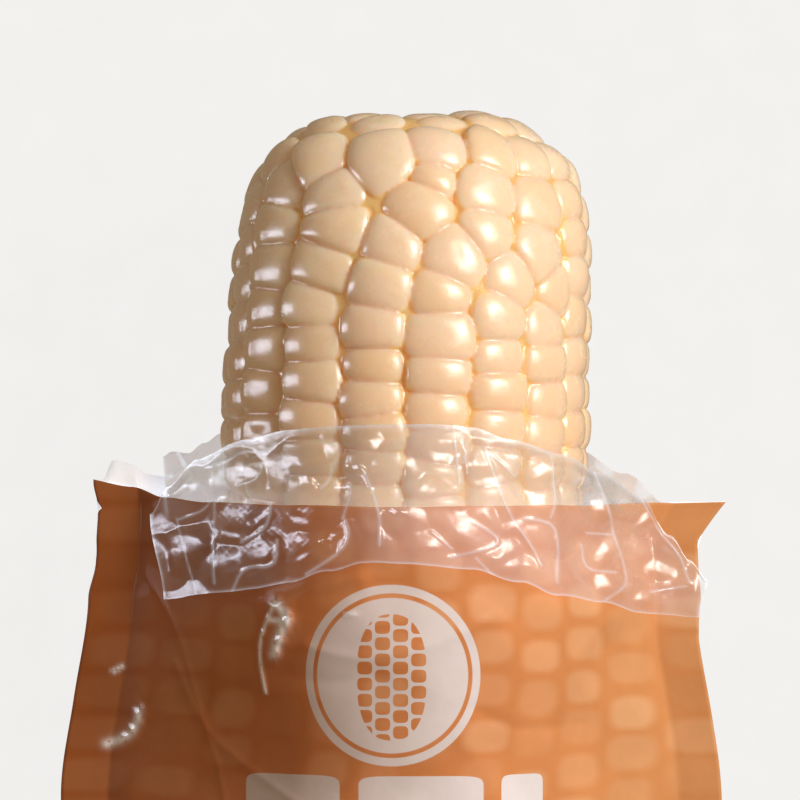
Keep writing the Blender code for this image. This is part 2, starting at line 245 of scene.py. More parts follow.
def kernel_frames(places, rng):
    """For each kernel: its centre, directions, its border with neighbours, and shape numbers."""
    centres = on_cob(places[:, 0], places[:, 1], 0.0)
    ahead = on_cob(places[:, 0] + 0.2 * MM, places[:, 1], 0.0)
    behind = on_cob(places[:, 0] - 0.2 * MM, places[:, 1], 0.0)
    down = ahead - behind
    down /= np.linalg.norm(down, axis=1)[:, None]
    across = np.stack([np.cos(places[:, 1]), np.sin(places[:, 1]), 0 * places[:, 1]], axis=-1)
    toward = np.zeros((len(places), 16))
    half = np.full((len(places), 16), 1.0)
    for one in range(len(places)):
        offsets = centres - centres[one]
        far = np.linalg.norm(offsets, axis=1)
        far[one] = 1.0
        close = np.argsort(far)[:16]
        close = close[far[close] < 15 * MM]
        du, dv = offsets[close] @ across[one], offsets[close] @ down[one]
        toward[one, :len(close)] = np.arctan2(dv, du)
        squeeze = places[one, 2] - places[close, 2]
        half[one, :len(close)] = (np.hypot(du, dv) + squeeze) / 2
    # the left rows are flatter and lean outwards, and the hidden half of the end lies lower
    leaning = np.exp(-((places[:, 1] + 0.70) / 0.34) ** 4) * (places[:, 0] > 15 * MM)
    end_ring = (places[:, 0] < 19 * MM) * (np.sin(places[:, 1]) < 0.3)
    # the border of each kernel, its middle, and the round form that best fits it
    phi = np.linspace(0, 2 * math.pi, 24, endpoint=False)
    edge = kernel_edge(phi[None, :], toward[:, None], half[:, None])
    edge_u, edge_v = edge * np.cos(phi), edge * np.sin(phi)
    middle_u, middle_v = edge_u.mean(axis=1), edge_v.mean(axis=1)
    edge_u, edge_v = edge_u - middle_u[:, None], edge_v - middle_v[:, None]
    uu, vv, uv = (edge_u ** 2).mean(axis=1), (edge_v ** 2).mean(axis=1), (edge_u * edge_v).mean(axis=1)
    spread = 2 * (uu * vv - uv ** 2)
    numbers = np.stack([
        (rng.normal(-0.14, 0.12, len(places)) - 0.7 * end_ring) * MM,  # rise
        rng.uniform(0.55, 0.80, len(places)) * (1 - 0.25 * leaning) * MM,  # how far it domes
        rng.uniform(1.1, 1.4, len(places)) * MM,  # how far its shoulders drop
        rng.uniform(4.6, 6.2, len(places)),  # how sharp its shoulders are
        rng.normal(0, 0.035, len(places)) - 0.13 * leaning, rng.normal(0, 0.035, len(places)),  # lean
        np.clip(rng.normal(0.0, 0.12, len(places)), 0, None) * MM,  # dimple
        rng.uniform(size=len(places)),  # tone
        middle_u, middle_v, vv / spread, uu / spread, -uv / spread,
    ], axis=1)
    return centres, across, down, toward, half, numbers


def kernel_skin(along, angles, places, frames):
    """Height over the cob, groove depth and tone for rows of points along at those angles."""
    centres, across, down, toward, half, numbers = frames
    height = np.empty((len(along), len(angles)))
    tone, depth = np.empty_like(height), np.empty_like(height)
    deepest, seam = 1.45 * MM, 0.07 * MM  # depth of the grooves, and how softly kernels meet
    for row, here in enumerate(along):
        near = np.flatnonzero(np.abs(places[:, 0] - here) < 9 * MM)
        if len(near) == 0:
            height[row], depth[row], tone[row] = -deepest, deepest, 0.5
            continue
        points = on_cob(np.full(len(angles), here), angles, 0.0)
        offset = points[:, None] - centres[None, near]
        u = np.einsum("pkc,kc->pk", offset, across[near])
        v = np.einsum("pkc,kc->pk", offset, down[near])
        which_point, which = np.nonzero(np.linalg.norm(offset, axis=2) < 8.5 * MM)
        u, v, who = u[which_point, which], v[which_point, which], near[which]
        t = np.hypot(u, v) / kernel_edge(np.arctan2(v, u), toward[who], half[who])
        (rise, domed, dropped, sharp, lean_u, lean_v, dimple, shade,
         middle_u, middle_v, form_u, form_v, form_uv) = numbers[who].T
        from_u, from_v = u - middle_u, v - middle_v
        fall = domed * (form_u * from_u ** 2 + form_v * from_v ** 2 + 2 * form_uv * from_u * from_v)
        fall += dropped * (1 - (1 - np.minimum(t, 1) ** sharp) ** (1 / sharp))
        fall = np.minimum(fall + np.clip(t - 1, 0, None) * 9 * MM, deepest + 0 * t)
        fall += dimple * np.exp(-(t / 0.35) ** 2)
        top = rise - fall + (lean_u * u + lean_v * v) * (t < 1)
        grid = np.full((len(angles), len(near)), -deepest)
        grid[which_point, which] = top
        shades, falls = np.zeros_like(grid), np.full_like(grid, deepest)
        shades[which_point, which], falls[which_point, which] = shade, fall
        first = grid.argmax(axis=1)
        highest = grid.max(axis=1)
        height[row] = highest - seam * np.log(np.exp((grid - highest[:, None]) / seam).sum(axis=1))
        tone[row] = shades[np.arange(len(angles)), first]
        depth[row] = falls[np.arange(len(angles)), first]
    return height, depth, tone


def mesh_object(name, vertices, faces, materials, **attributes):
    """A smooth-shaded object with those vertices and faces, and float attributes per vertex."""
    mesh = bpy.data.meshes.new(name)
    mesh.from_pydata([tuple(map(float, v)) for v in vertices], [], faces)
    for key, values in attributes.items():
        layer = mesh.attributes.new(key, "FLOAT", "POINT")
        layer.data.foreach_set("value", np.asarray(values, dtype=np.float32))
    mesh.shade_smooth()
    for material in materials:
        mesh.materials.append(material)
    obj = bpy.data.objects.new(name, mesh)
    scene.collection.objects.link(obj)
    return obj


def lay_cob(obj):
    """Put an object made in the cob's own frame where the cob lies."""
    obj.data.transform(Matrix.Translation(cob_end) @ Matrix.Rotation(axis_tilt - math.pi / 2, 4, "X"))


def maths(material, operation, a, b=0.0, c=0.0, clamp=False):
    """Output of a math node."""
    return add(material, "Math", {0: a, 1: b, 2: c}, operation=operation,
               use_clamp=clamp).outputs[0]


def remap(material, value, low, high, to_low=0.0, to_high=1.0, kind="LINEAR"):
    """Output of value remapped, so that low becomes to_low and high becomes to_high."""
    return add(material, "MapRange", {"Value": value, "From Min": low, "From Max": high,
                                      "To Min": to_low, "To Max": to_high},
               interpolation_type=kind).outputs[0]


def blend(material, factor, under, over, kind="MIX"):
    """Output of a colour mix: under where factor is 0, and over where it is 1."""
    return add(material, "Mix", {0: factor, 6: under, 7: over}, data_type="RGBA",
               blend_type=kind).outputs[2]


def noise(material, place, scale, detail, roughness=0.5):
    """Output of a noise with that many lumps to a metre, or to a mm where place is in mm."""
    return add(material, "TexNoise", {"Vector": place, "Scale": scale, "Detail": detail,
                                      "Roughness": roughness}).outputs["Fac"]


def attribute(material, name, output="Fac"):
    """Output of the mesh's attribute of that name."""
    return add(material, "Attribute", attribute_name=name).outputs[output]


flesh = new_material("waxy_sweetcorn")
deep, tone, stalk = (attribute(flesh, name) for name in ("depth", "tone", "scar"))
place = add(flesh, "TexCoord").outputs["Object"]
cloud = noise(flesh, place, 260.0, 4.0, 0.6)
skin = ramp(flesh, cloud, [(0.30, "f5d8b8"), (0.70, "f9e3ce")])
pale = ramp(flesh, tone, [(0.0, "f6d8b4"), (0.55, "f9e4cd"), (1.0, "f8e0cb")])
skin = blend(flesh, 0.5, skin, pale)
# the kernels' colour is a little darker and warmer towards the pack
down_cob = remap(flesh, add(flesh, "SeparateXYZ", {"Vector": place}).outputs["Y"], 0.127, 0.072)
warmer = ramp(flesh, down_cob, [(0.0, "fffefd"), (0.45, "fdfaf6"), (1.0, "f7ecdf")])
skin = blend(flesh, 1.0, skin, warmer, "MULTIPLY")
# partly painted glow: the grooves are a deeper gold, the kernels' own yellower sides together with
# painted light shining through them
in_groove = remap(flesh, deep, 0.78 * MM, 1.2 * MM, kind="SMOOTHSTEP")
groove_gold_and_glow = ramp(flesh, tone, [(0.0, "f9cc86"), (1.0, "fbd99c")])
fibre = ramp(flesh, cloud, [(0.35, "c99a5e"), (0.65, "ecd3a4")])
colour = blend(flesh, stalk, blend(flesh, in_groove, skin, groove_gold_and_glow), fibre)
uneven = maths(flesh, "ADD", noise(flesh, place, 1900.0, 3.0), noise(flesh, place, 420.0, 2.0))
bump = add(flesh, "Bump", {"Height": uneven, "Strength": 0.12, "Distance": 0.25 * MM}).outputs[0]
gloss = remap(flesh, cloud, 0.3, 0.7, 0.20, 0.32)
shader = add(flesh, "BsdfPrincipled", {
    "Base Color": colour, "Roughness": gloss, "IOR": 1.42, "Normal": bump,
    "Subsurface Weight": 0.85, "Subsurface Scale": 4.8 * MM,
    "Subsurface Radius": (1.0, 0.6, 0.32), "Coat Weight": 0.6, "Coat Roughness": 0.16})
add(flesh, "OutputMaterial", {"Surface": shader.outputs[0]})

rng = np.random.default_rng(7)
kernel_list = kernel_places(rng)
frames = kernel_frames(kernel_list, rng)


def skin_piece(name, along, angles):
    """A piece of the kernels' skin, with the stalk's scar in the middle of the blunt end."""
    height, depth, tone = kernel_skin(along, angles, kernel_list, frames)
    in_scar = eased((scar_radius - along) / (1.8 * MM))[:, None]
    fibres = np.sin(angles * 23 + 3 * np.sin(angles * 5)) * eased(along / (4 * MM))[:, None]
    rings = np.cos(along * 900)[:, None] * in_scar
    height = height * (1 - in_scar) + (-2.0 + 0.25 * fibres - 0.5 * rings) * MM * in_scar
    # the cob isn't quite round: its right shoulder is fuller and its left side a little flatter
    s = np.interp(along, outline_along, outline_s)[:, None] / MM
    turn = (angles + math.pi) % (2 * math.pi) - math.pi
    fuller = eased((s - 2) / 7) * (1 - eased((s - 10) / 30))
    flatter = eased(s / 4) * (1 - eased((s - 30) / 12))
    height = height + 2.1 * MM * fuller * np.exp(-((turn - 1.48) / 0.62) ** 2)
    height = height - 0.6 * MM * flatter * np.exp(-((turn + 1.4) / 0.5) ** 2)
    grid_along, grid_angle = np.meshgrid(along, angles, indexing="ij")
    points = on_cob(grid_along, grid_angle, height).reshape(-1, 3)
    columns = len(angles)
    row_starts = np.arange(len(along) - 1)[:, None] * columns
    a = (row_starts + np.arange(columns)).ravel()
    b = (row_starts + (np.arange(columns) + 1) % columns).ravel()
    faces = [tuple(face) for face in np.stack([a, a + columns, b + columns, b], axis=1).tolist()]
    looks = [part.ravel() for part in (depth, tone, np.broadcast_to(in_scar, depth.shape))]
    if along[0] < MM:  # a point in the middle of the scar closes the blunt end
        points = np.vstack([points, [[0, 0, -2.3 * MM]]])
        faces += [(len(points) - 1, k, (k + 1) % columns) for k in range(columns)]
        looks = [np.append(part, part[0]) for part in looks]
    return mesh_object(name, points, faces, [flesh], **dict(zip(("depth", "tone", "scar"), looks)))


# fine rows and columns where the kernels show, and coarse ones behind them and in the pouch
pouch_depth = np.interp(64 * MM, outline_s, outline_along)
fine_front = np.radians(np.arange(-75, 75, 0.64))
coarse_back = np.radians(np.arange(75, 285, 1.58))
shown_rows = np.concatenate([np.arange(0.7, 11, 0.5), np.arange(11, pouch_depth / MM, 0.29)]) * MM
kernels = skin_piece("cob_kernels", shown_rows, np.concatenate([fine_front, coarse_back]))
hidden_rows = np.append(np.arange(shown_rows[-1], outline_along[-1] - 0.5 * MM, 0.9 * MM),
                        outline_along[-1] - 0.05 * MM)
lower_kernels = skin_piece("cob_kernels_in_pouch", hidden_rows, np.radians(np.arange(0, 360, 2.2)))
for piece in (kernels, lower_kernels):
    lay_cob(piece)
    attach(piece, "root")
    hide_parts("corn_cob")


# Pouch -------------------------------------------------------------------------------------------
# A glossy printed laminate, orange outside and white inside, wrapped round the cob: sealed along
# its sides and bottom, with a torn mouth, soft creases and a few sharp pinches. All in mm.


def curve(stations, at):
    """Smooth curve through stations (place, value), in rising order of place, read at an array."""
    places, values = (np.array(column, dtype=float) for column in zip(*stations))
    slopes = np.gradient(values, places)
    at = np.clip(at, places[0], places[-1])
    k = np.clip(np.searchsorted(places, at) - 1, 0, len(places) - 2)
    span = places[k + 1] - places[k]
    f = (at - places[k]) / span
    bend = slopes[k] * (1 - f) - slopes[k + 1] * f
    return (values[k] + (values[k + 1] - values[k]) * f * f * (3 - 2 * f)
            + f * (1 - f) * span * (bend + (values[k + 1] - values[k]) / span * (2 * f - 1)))


panel_left, panel_right, seal_width, wall = 49.0, 46.8, 6.0, 0.30
pouch_bottom, mouth_level = -127.3, 72.2
bulge_stations = ((-127.3, 0.4), (-115, 0.4), (-100, 2.5), (-75, 9.2), (-58, 14.6),
                  (-50, 17.2), (-37.5, 19.3), (-25, 20.5), (0, 22.4), (31, 24.8),
                  (59, 27.7), (72.2, 28.4), (82, 28.4))


def half_width(bulge, panel):
    """Where a panel of that length meets the middle plane when it is wrapped round the bulge."""
    low, high = bulge, bulge + panel
    for _ in range(50):
        width = (low + high) / 2
        short = np.sqrt(width ** 2 - bulge ** 2) + bulge * np.arcsin(bulge / width) < panel
        low, high = np.where(short, width, low), np.where(short, high, width)
    return high


def pouch_section(y):
    """Bulge, height of the middle plane, and half widths to the left and right, at y."""
    bulge = curve(bulge_stations, y)
    middle = np.maximum(bulge - 0.4, 0.5)
    return bulge, middle, half_width(bulge, panel_left), half_width(bulge, panel_right)


def around(distance, bulge, width):
    """x and height at a distance along a section that is round over the bulge, then runs straight
    down to the middle plane at width. The third value tells where it is round."""
    turn = np.arcsin(np.clip(bulge / width, 0, 1))
    rest = distance - bulge * turn
    x = np.where(rest <= 0, bulge * np.sin(distance / bulge),
                 bulge * np.sin(turn) + rest * np.cos(turn))
    height = np.where(rest <= 0, bulge * np.cos(distance / bulge),
                      bulge * np.cos(turn) - rest * np.sin(turn))
    return x, height, rest <= 0


def section_height(x, bulge, width, least):
    """Height at x of that same section, and at least that much on its straight part."""
    turn = np.arcsin(np.clip(bulge / width, 0, 1))
    round_part = np.sqrt(np.clip(bulge ** 2 - x ** 2, 0, None))
    straight = np.clip((width - np.abs(x)) * np.tan(turn), least, None)
    return np.where(np.abs(x) <= bulge * np.sin(turn), round_part, straight)


def wrap(along, y, inset=0.0):
    """x and height over the middle plane of a pouch panel, along mm to the right of its crown."""
    bulge, _, left, right = pouch_section(y)
    panel = np.where(along < 0, panel_left, panel_right)
    x, height, _ = around(np.minimum(np.abs(along), panel), bulge, np.where(along < 0, left, right))
    x = x + np.clip(np.abs(along) - panel, 0, None)
    return np.where(along < 0, -x, x), np.maximum(height - inset, 0.0)


def height_over(x, y):
    """Height of the pouch's front over the floor at x, beside as well as on it."""
    bulge, middle, left, right = pouch_section(np.minimum(y, mouth_level))
    shift = np.where(x < 0, curve(left_shift, y), np.interp(y, *zip(*right_shift)))
    x = x - shift * (np.abs(x) / 46) ** 3
    return middle + section_height(x, bulge, np.where(x < 0, left, right), 0.5)


def strokes(x, y, lines):
    """Sum of long soft or sharp ridges. Each is (points, half width, height) in mm."""
    total = np.zeros_like(x)
    for points, width, tall in lines:
        for _ in range(2):  # cut its corners, so that it bends smoothly
            cut = [tuple(np.array(a) * (1 - f) + np.array(b) * f) for a, b in zip(points, points[1:])
                   for f in (0.25, 0.75)]
            points = [points[0]] + cut[1:-1] + [points[-1]]
        nearest = np.full(x.shape, 1e9)
        for (ax, ay), (bx, by) in zip(points, points[1:]):
            dx, dy = bx - ax, by - ay
            f = np.clip(((x - ax) * dx + (y - ay) * dy) / (dx * dx + dy * dy), 0, 1)
            nearest = np.minimum(nearest, np.hypot(x - ax - f * dx, y - ay - f * dy))
        total += tall * np.exp(-(nearest / width) ** 1.5)
    return total


def waves(x, y, rng, count, long, short, tall):
    """A soft uneven surface from waves of random direction, lengths between short and long."""
    total = np.zeros_like(x)
    for _ in range(count):
        size = rng.uniform(short, long)
        turn = rng.uniform(0, math.pi)
        phase = rng.uniform(0, 2 * math.pi)
        total += size / long * np.sin(2 * math.pi * (x * math.cos(turn) + y * math.sin(turn))
                                      / size + phase)
    return total * tall / math.sqrt(count)


# sharp pinches, where the laminate has crumpled and its ink has worn pale and is painted paler still for
# their glints, and softer creases:
# (points, half width, height) in mm
pinches = (
    (((-17.1, 58), (-15.3, 56.2), (-16.4, 54.4), (-17.3, 51.4)), 0.95, 0.60),
    (((-17.4, 57.6), (-18.5, 55.2), (-19.3, 52.9), (-19.2, 49.6), (-18.5, 46.3)), 0.30, 0.35),
    (((-17.6, 55.8), (-15.8, 55.8)), 0.55, 0.30),
    (((-41.7, 38.6), (-39.8, 39.2), (-38.1, 40.1), (-37.1, 42), (-37, 43.2)), 0.90, 0.55),
    (((-40.7, 48.7), (-39.4, 49.4)), 0.50, 0.40),
    (((-7.8, 56.5), (-6.4, 56.7)), 0.30, 0.22),
)
creases = (
    (((-38.3, 65.3), (-31, 54.8), (-28.5, 45.5), (-23.6, 31), (-24, 8)), 0.5, 0.14),
    (((-21.6, 52), (-22.2, 48)), 1.6, -0.35),
    (((-19, 50), (-12, 47.5), (-4, 48.5)), 2, -0.35),
    (((-15.5, 58.2), (-11, 60.2), (-6, 61.4)), 1.3, 0.65),
    (((20.6, 44.6), (24, 52.4), (27.6, 56)), 1.3, 0.40),
    (((24.6, 50), (31, 55)), 1.6, -0.40),
    (((13, 57), (20, 52), (31, 33), (33, 5)), 2.6, -0.45),
    (((-13, 52.5), (-6, 50.5), (4, 52.5), (12, 56.5)), 0.9, 0.22),
    (((-31.5, 50), (-27, 40), (-14, 31.5)), 0.7, 0.20),
    (((25.5, 59.5), (28.5, 50), (27, 40.5), (29.5, 31)), 0.8, 0.22),
    (((9.5, 44), (15, 41), (24, 42)), 0.9, -0.20),
    (((8, 40), (14, 30), (16, 12)), 2.2, 0.30),
    (((-10, 30), (-14, 12), (-9, -14)), 2, 0.40),
    (((22, 8), (14, -12), (18, -40)), 2.2, 0.45),
    (((-26, -8), (-20, -34), (-24, -60)), 1.8, 0.45),
    (((-6, -52), (-2, -76), (-8, -104)), 1.5, 0.50),
    (((12, -60), (18, -84), (14, -108)), 1.5, 0.50),
    (((-30, -78), (-24, -96), (-28, -112)), 1.5, 0.40),
    (((34, -70), (30, -92), (34, -110)), 1.6, 0.40),
)
# how far the two sides are pulled outwards, and where the torn rims run: (place, mm)
left_shift = ((-127.3, 0), (5, 0), (30.7, -0.8), (44.7, -0.3), (58.6, 0.3), (64.2, 1),
              (68, 0.75), (71.5, 0.7), (75.1, 0.1))
right_shift = ((-127.3, 0), (10, 0), (30.7, -0.2), (40.5, -0.5), (53.1, -0.5),
               (58.6, 0.1), (62.8, 0.1), (66.2, 0.4), (67, 0.6), (72.3, 4.8))
front_rim = ((-46, 75.7), (-38.5, 74.4), (-33.1, 72.7), (-26.3, 71.7), (-13.7, 70.8),
             (-0.7, 70.4), (9.7, 70.6), (20.5, 71), (34.3, 72.1), (46, 72.4))
back_rim = ((-46, 75.4), (-42.2, 75.4), (-41.2, 78), (-40.6, 78.2), (-38, 77.5),
            (-36.5, 76.3), (-33, 75.9), (-20, 74.2), (0, 72.6), (34.3, 72.3), (46, 72.4))


def pouch_sheet(side, inside, down):
    """Points of one panel of the pouch. side is 1 in front and -1 behind, down places the rows."""
    along = np.concatenate([
        np.linspace(-panel_left - seal_width, -panel_left, 13)[:-1],
        np.linspace(-panel_left, -12.0, 111 if side > 0 else 61)[:-1],
        np.linspace(-12.0, panel_right, 99 if side > 0 else 81),
        np.linspace(panel_right, panel_right + seal_width, 13)[1:]])[None, :]
    rough_x, _ = wrap(along, np.full_like(along, 70.0))
    rim = curve(front_rim, rough_x) if side > 0 else np.interp(rough_x, *zip(*back_rim))
    y = pouch_bottom + (rim - pouch_bottom) * (1 - down[:, None])
    along = np.broadcast_to(along, y.shape)
    x, height = wrap(along, np.minimum(y, mouth_level), wall if inside else 0.0)
    middle = pouch_section(np.minimum(y, mouth_level))[1]
    past = np.where(along < 0, -along / (panel_left + seal_width),
                    along / (panel_right + seal_width)) ** 3
    x = x + past * np.where(along < 0, curve(left_shift, y), np.interp(y, *zip(*right_shift)))
    x = x + (panel_left - panel_right) / 2 * eased(-y / 60)
    notch = 0.7 * np.exp(-(np.abs(y - 71.5) / 0.35) ** 1.5)  # the cut where it tears open
    x = x + notch * eased((-panel_left - seal_width + 1.2 - along) / 1.2)
    in_seal = np.where(along < 0, -panel_left - along, along - panel_right)
    body = eased(-in_seal / 5.0) * eased((rim - y) / 6.0 + 0.25)
    worn_and_glint = np.zeros_like(y)
    if side > 0:
        crumple = waves(x, y, np.random.default_rng(8), 10, 2.6, 1.1, 1.0)
        # where the pinches run: worn ink, and painted highlight for their glints
        worn_and_glint = np.clip(strokes(x, y, [(line, 0.6 * half, 1.2) for line, half, _ in pinches]), 0, 1)
        relief = strokes(x, y, creases) + strokes(x, y, pinches) * (1 + 0.5 * crumple)
        relief += waves(x, y, np.random.default_rng(3), 9, 46, 18, 0.28)
        relief += waves(x, y, np.random.default_rng(4), 14, 12, 5, 0.10)
    else:
        relief = waves(x, y, np.random.default_rng(5), 9, 50, 20, 0.12)
    relief = relief * body * (height > 0)
    z = middle + side * np.maximum(height + relief, 0.03 if inside else 0.25)
    z = np.maximum(z, wall if inside else 0.0)
    return np.stack([x, y, z], axis=-1), np.stack([along, y, worn_and_glint], axis=-1)


def grid_faces(rows, columns, first=0, flip=False):
    """Faces of a grid of points listed row by row."""
    a = (first + np.arange(rows - 1)[:, None] * columns + np.arange(columns - 1)).ravel()
    corners = (a, a + columns, a + columns + 1, a + 1) if flip else \
        (a, a + 1, a + columns + 1, a + columns)
    return [tuple(face) for face in np.stack(corners, axis=1).tolist()]


printed = new_material("printed_laminate")
across, upward, rubbed_and_glint = add(printed, "SeparateXYZ", {0: attribute(printed, "panel", "Vector")}).outputs


def calc(operation, a, b=0.0, c=0.0):
    """Output of a math node of the printed laminate."""
    return maths(printed, operation, a, b, c)


def rounded_box(u, v, half_u, half_v, power, soft):
    """1 inside a box with rounded corners round u = v = 0, and 0 outside it."""
    pu = calc("POWER", calc("DIVIDE", calc("ABSOLUTE", u), half_u), power)
    pv = calc("POWER", calc("DIVIDE", calc("ABSOLUTE", v), half_v), power)
    reach = calc("POWER", calc("ADD", pu, pv), 1 / power)
    return remap(printed, reach, 1 + soft / 2, 1 - soft / 2, kind="SMOOTHSTEP")


def below(value, limit, soft=0.12):
    """1 where value is below the limit, with a soft step."""
    return remap(printed, value, limit + soft / 2, limit - soft / 2)


def without(value, part):
    """value where part is 0, and 0 where part is 1."""
    return calc("MULTIPLY", value, calc("SUBTRACT", 1.0, part))


def within(place):
    """How far place is from the middle of its own cell, from -0.5 to 0.5."""
    return calc("SUBTRACT", calc("FRACT", place), 0.5)


# rows of kernels, tone on tone: wavy columns about 6.6 mm apart of boxes 5.8 mm apart
sway = calc("MULTIPLY", calc("SINE", calc("MULTIPLY", upward, 0.085)), 1.1)
wider = calc("SUBTRACT", 1.0, calc("MULTIPLY", calc("ABSOLUTE", across), 0.0056))
column_place = calc("DIVIDE", calc("MULTIPLY_ADD", across, wider, sway), 6.6)
column = calc("FLOOR", column_place)
column_chance = add(printed, "TexWhiteNoise", {"W": column}, noise_dimensions="1D").outputs["Value"]
row_place = calc("MULTIPLY_ADD", column_chance, 3.0, calc("DIVIDE", upward, 5.8))
cell = add(printed, "CombineXYZ", {0: column, 1: calc("FLOOR", row_place)}).outputs[0]
cell_colour = add(printed, "TexWhiteNoise", {"Vector": cell}).outputs["Color"]
chance_1, chance_2, chance_3 = add(printed, "SeparateColor", {0: cell_colour}).outputs
in_v = calc("MULTIPLY_ADD", calc("SUBTRACT", chance_1, 0.5), 0.10, within(row_place))
half_u = calc("MULTIPLY_ADD", chance_2, 0.09, 0.36)
half_v = calc("MULTIPLY_ADD", chance_3, 0.09, 0.34)
box = rounded_box(within(column_place), in_v, half_u, half_v, 3.0, 0.60)
box = calc("MULTIPLY", box, calc("MULTIPLY_ADD", chance_1, 0.68, 0.12))
ink = blend(printed, box, linear("d88f5b"), linear("e7ab7f"))

# in white: a disc with an inset ring round an ear of corn, and plain bars under it
disc_u, disc_v = calc("ADD", across, 1.8), calc("SUBTRACT", upward, 48.6)
from_disc = calc("SQRT", calc("MULTIPLY_ADD", disc_u, disc_u, calc("MULTIPLY", disc_v, disc_v)))
ring = without(below(from_disc, 10.7), below(from_disc, 10.1))
ear = rounded_box(disc_u, calc("ADD", disc_v, 0.2), 4.6, 8.2, 2.4, 0.02)
ear_u = calc("DIVIDE", disc_u, 2.35)
ear_v = calc("MULTIPLY_ADD", calc("FLOOR", ear_u), 0.5, calc("DIVIDE", disc_v, 2.1))
ear_kernel = rounded_box(within(ear_u), within(ear_v), 0.42, 0.40, 3.5, 0.06)
white = without(without(below(from_disc, 11.8), ring), calc("MULTIPLY", ear, ear_kernel))
bar_v = calc("SUBTRACT", upward, 33.2)
for bar_u, half in ((-16.4, 7.6), (2.2, 8.4), (16.9, 3.6)):
    bar = rounded_box(calc("SUBTRACT", across, bar_u), bar_v, half, 2.3, 6.0, 0.03)
    white = calc("MAXIMUM", white, bar)
white = calc("MULTIPLY", white, below(attribute(printed, "behind"), 0.5))
ink = blend(printed, white, ink, linear("eae6ee"))

# painted shade and sheen: the ink is darker and browner towards the left, which faces away from the key
# light, and paler towards the right, where that light sheens on it; it is a little mottled, and worn pale
# on sharp pinches, painted paler still for their glints
painted_shade_and_sheen = ramp(printed, remap(printed, across, -56.0, 40.0),
             [(0.0, "b49c84"), (0.06, "bda898"), (0.13, "d4c3b6"), (0.42, "decdc0"),
              (0.53, "eee4dc"), (0.68, "fcf8f4"), (1.0, "f5ffff")])
panel_spot = add(printed, "CombineXYZ", {0: across, 1: upward}).outputs[0]
mottle = noise(printed, panel_spot, 0.12, 3.0)
# painted shade on the left side and painted sheen on the right
ink = blend(printed, 1.0, ink, painted_shade_and_sheen, "MULTIPLY")
ink = blend(printed, 1.0, ink, remap(printed, mottle, 0.3, 0.7, 0.92, 1.06), "MULTIPLY")
scuff_and_glint = remap(printed, noise(printed, panel_spot, 1.3, 3.0), 0.30, 0.42)
# partly wear and partly painted highlight: the ink goes pale along the pinches
ink = blend(printed, calc("MULTIPLY", rubbed_and_glint, scuff_and_glint), ink, linear("f4f0f4"))
dents = noise(printed, panel_spot, 0.45, 4.0, 0.45)
bump = add(printed, "Bump", {"Height": dents, "Strength": 0.10, "Distance": 0.5 * MM}).outputs[0]
shader = add(printed, "BsdfPrincipled", {
    "Base Color": ink, "Roughness": remap(printed, mottle, 0.3, 0.7, 0.40, 0.50), "IOR": 1.32,
    "Specular IOR Level": 0.08, "Normal": bump, "Coat Roughness": 0.12,
    "Coat Weight": calc("MULTIPLY_ADD", rubbed_and_glint, 0.9, 0.05)})
add(printed, "OutputMaterial", {"Surface": shader.outputs[0]})

lining = new_material("white_lining")
cloud = add(lining, "TexNoise", {"Scale": 60.0, "Detail": 3.0}).outputs["Fac"]
# painted light: the lining glows a little with light of its own, which brightens it where it lies in the
# cob's shadow
shader = add(lining, "BsdfPrincipled", {
    "Base Color": ramp(lining, cloud, [(0.3, "dededf"), (0.7, "ebebec")]), "Roughness": 0.35,
    "Emission Color": linear("e4eaf6"), "Emission Strength": 0.48})
add(lining, "OutputMaterial", {"Surface": shader.outputs[0]})

# rows of points at parts of the way from the rim to the bottom, closer near the rim
down_rows = np.concatenate([np.linspace(0, 50, 151)[:-1], np.linspace(50, 200, 51)]) / 200
back_rows = np.concatenate([np.linspace(0, 20, 28)[:-1], np.linspace(20, 200, 37)]) / 200
blocks, panels, behind, faces, sorts = [], [], [], [], []
for side, rows, close in ((1, down_rows, 150), (-1, back_rows, 27)):
    # the lining has every third of the close rows near the mouth, and all the others
    picked = list(range(0, close, 3)) + list(range(close, len(rows)))
    first = sum(len(block) for block in blocks)
    outer, outer_panel = pouch_sheet(side, False, rows)
    inner, inner_panel = pouch_sheet(side, True, rows[picked])
    columns = outer.shape[1]
    start = first + outer.shape[0] * columns
    new = grid_faces(len(rows), columns, first, flip=side > 0)
    lined = grid_faces(len(picked), columns, start, flip=side < 0)
    # narrow strips close the sheet along its rim, its bottom and its two sides
    last_outer, last_inner = start - columns, start + (len(picked) - 1) * columns
    for a, b in zip(range(columns - 1), range(1, columns)):
        lined.append((first + a, first + b, start + b, start + a)[::side])
        lined.append((last_outer + b, last_outer + a, last_inner + a, last_inner + b)[::side])
    for k in range(len(picked) - 1):
        for column, turn in ((0, -side), (columns - 1, side)):
            edge = [first + row * columns + column for row in range(picked[k], picked[k + 1] + 1)]
            edge += [start + row * columns + column for row in (k + 1, k)]
            lined.append(tuple(edge)[::turn])
    for points, panel in ((outer, outer_panel), (inner, inner_panel)):
        behind += [side < 0] * panel[..., 0].size
        blocks.append(points.reshape(-1, 3))
        panels.append(panel.reshape(-1, 3))
    faces += new + lined
    sorts += [0] * len(new) + [1] * len(lined)
pouch = mesh_object("printed_pouch", np.vstack(blocks) * MM, faces, [printed, lining], behind=behind)
layer = pouch.data.attributes.new("panel", "FLOAT_VECTOR", "POINT")
layer.data.foreach_set("vector", np.vstack(panels).astype(np.float32).ravel())
pouch.data.polygons.foreach_set("material_index", np.array(sorts, dtype=np.int32))
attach(pouch, "root")
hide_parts("outer_pouch")


# Film bag ----------------------------------------------------------------------------------------
# Clear vacuum film that hugged the kernels and keeps their print: its front is folded out and
# down over the pouch's rim, its back stays behind the cob, and the rest is inside the pouch.

